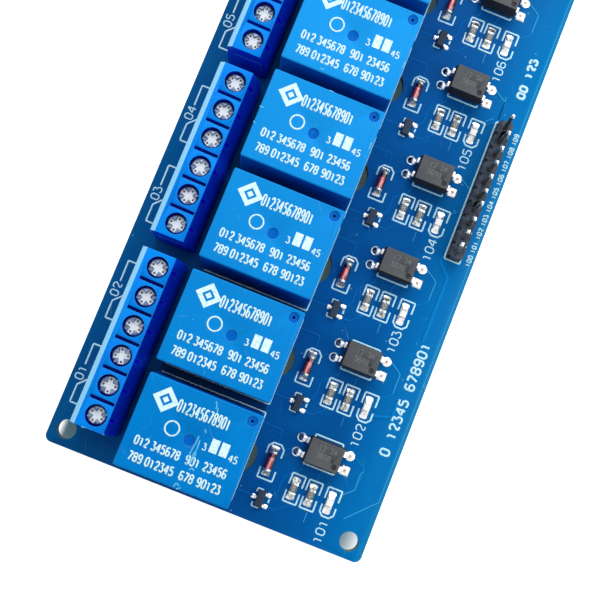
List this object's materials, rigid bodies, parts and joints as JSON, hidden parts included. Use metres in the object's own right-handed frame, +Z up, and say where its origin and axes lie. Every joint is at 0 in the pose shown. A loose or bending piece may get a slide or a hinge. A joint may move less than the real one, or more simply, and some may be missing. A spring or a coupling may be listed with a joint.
{
  "type": "relay module board",
  "caption": "Rectangular circuit board with a row of box relays, screw terminal blocks along one edge, surface-mounted driver parts, a pin header and corner mounting holes.",
  "frame": {"origin": "on the plane of the soldered pin tips, under the middle of the board", "axes": "+X from the terminal side to the header side, +Y along the row of relays, +Z up from the solder side to the component side"},
  "size_m": [0.056, 0.138, 0.0189],
  "materials": {
    "board_laminate": "blue solder mask, glossy",
    "relay_case": "satin moulded nylon",
    "relay_base": "moulded base",
    "terminal_housing": "glossy bright blue nylon",
    "screw_steel": "zinc plated",
    "cage_steel": "nickel plated",
    "black_moulding": "matt epoxy moulding",
    "diode_glass": "clear orange-red glass over a dark band",
    "resistor_body": "dark glaze",
    "lamp_white": "milky lens",
    "header_plastic": "satin black nylon",
    "jumper_plastic": "black nylon",
    "solder": "bright tin",
    "tinned_lead": "tinned"
  },
  "bodies": {
    "root": {"circuit_board": "board_laminate", "relay_cover_1": "relay_case", "relay_cover_2": "relay_case", "relay_cover_3": "relay_case", "relay_cover_4": "relay_case", "relay_cover_5": "relay_case", "relay_cover_6": "relay_case", "relay_cover_7": "relay_case", "relay_cover_8": "relay_case", "relay_base_1": "relay_base", "relay_base_2": "relay_base", "relay_base_3": "relay_base", "relay_base_4": "relay_base", "relay_base_5": "relay_base", "relay_base_6": "relay_base", "relay_base_7": "relay_base", "relay_base_8": "relay_base", "relay_pins": "tinned_lead", "terminal_block_1": "terminal_housing", "terminal_block_2": "terminal_housing", "terminal_block_3": "terminal_housing", "terminal_block_4": "terminal_housing", "terminal_screws_1": "screw_steel", "terminal_screws_2": "screw_steel", "terminal_screws_3": "screw_steel", "terminal_screws_4": "screw_steel", "terminal_cages_1": "cage_steel", "terminal_cages_2": "cage_steel", "terminal_cages_3": "cage_steel", "terminal_cages_4": "cage_steel", "terminal_pins_1": "tinned_lead", "terminal_pins_2": "tinned_lead", "terminal_pins_3": "tinned_lead", "terminal_pins_4": "tinned_lead", "optocoupler_bodies": "black_moulding", "optocoupler_leads": "tinned_lead", "diode_glass": "diode_glass", "diode_caps": "tinned_lead", "transistor_bodies": "black_moulding", "transistor_leads": "tinned_lead", "resistor_bodies": "resistor_body", "resistor_ends": "tinned_lead", "lamp_lenses": "lamp_white", "lamp_bases": "lamp_white", "signal_header_strip": "header_plastic", "signal_header_pins": "tinned_lead", "power_header_strip": "header_plastic", "power_header_pins": "tinned_lead", "jumper_cap": "jumper_plastic", "relay_solder": "solder", "terminal_solder": "solder", "header_solder": "solder"}
  },
  "joints": []
}
